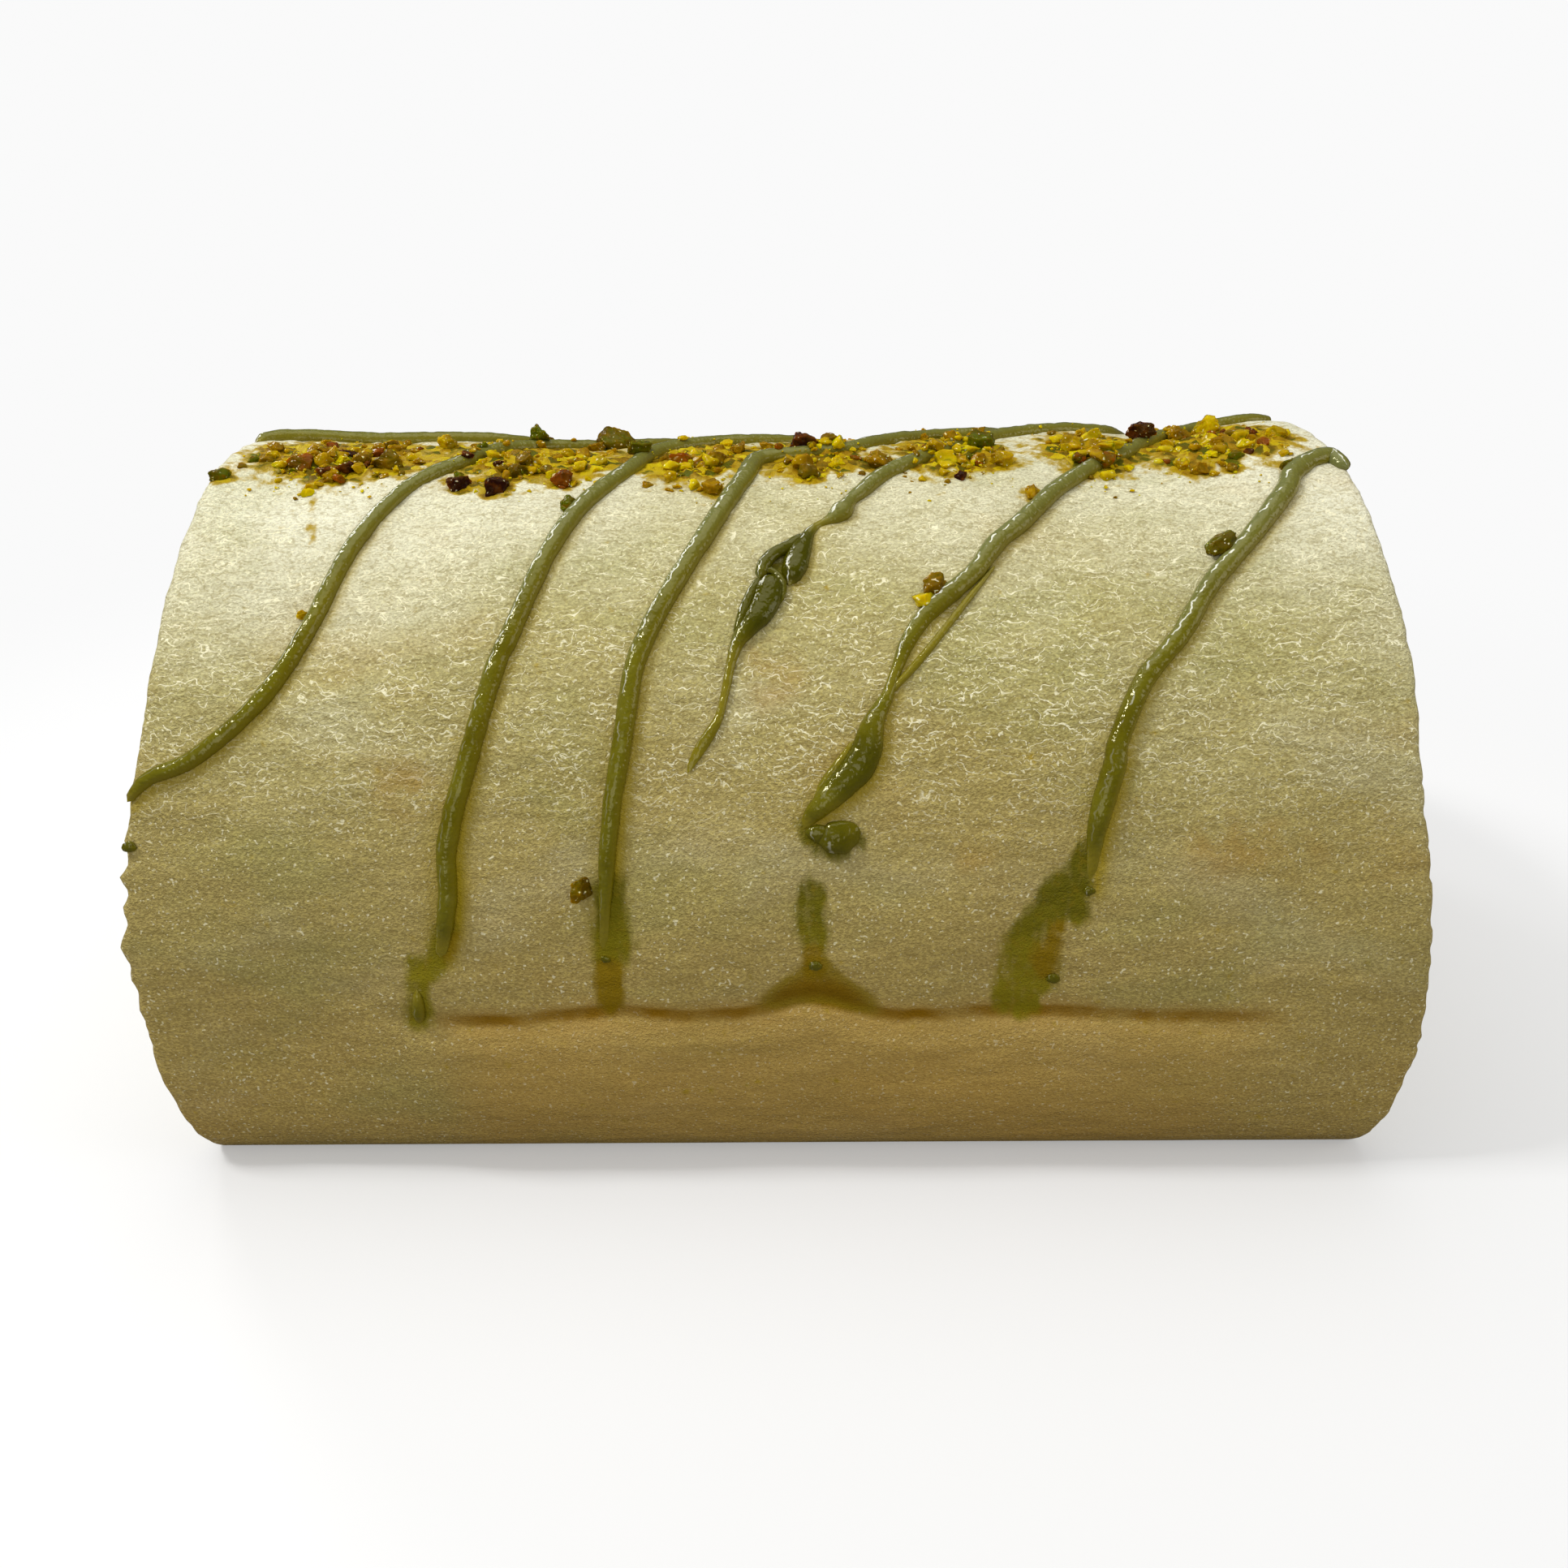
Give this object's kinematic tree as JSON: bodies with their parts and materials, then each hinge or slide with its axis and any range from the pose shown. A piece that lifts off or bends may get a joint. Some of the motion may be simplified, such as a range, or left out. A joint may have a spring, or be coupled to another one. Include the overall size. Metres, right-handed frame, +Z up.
{
  "type": "pistachio meringue roulade",
  "caption": "Rolled meringue cake resting on its flat base, with slanting strokes of pistachio cream over its back and chopped pistachios along its crest.",
  "frame": {"origin": "middle of the flat base that the roulade rests on", "axes": "+X along the roll, towards its right end as seen from the front; -Y is the front, where the roll's edge and the low ends of the cream strokes are; +Z up"},
  "size_m": [0.2014, 0.1364, 0.1088],
  "materials": {
    "meringue": "moist fine-grained baked meringue",
    "pistachio_cream": "glossy piped cream",
    "chopped_pistachio": "broken nut"
  },
  "bodies": {
    "root": {"meringue_roulade": "meringue"}
  },
  "joints": []
}
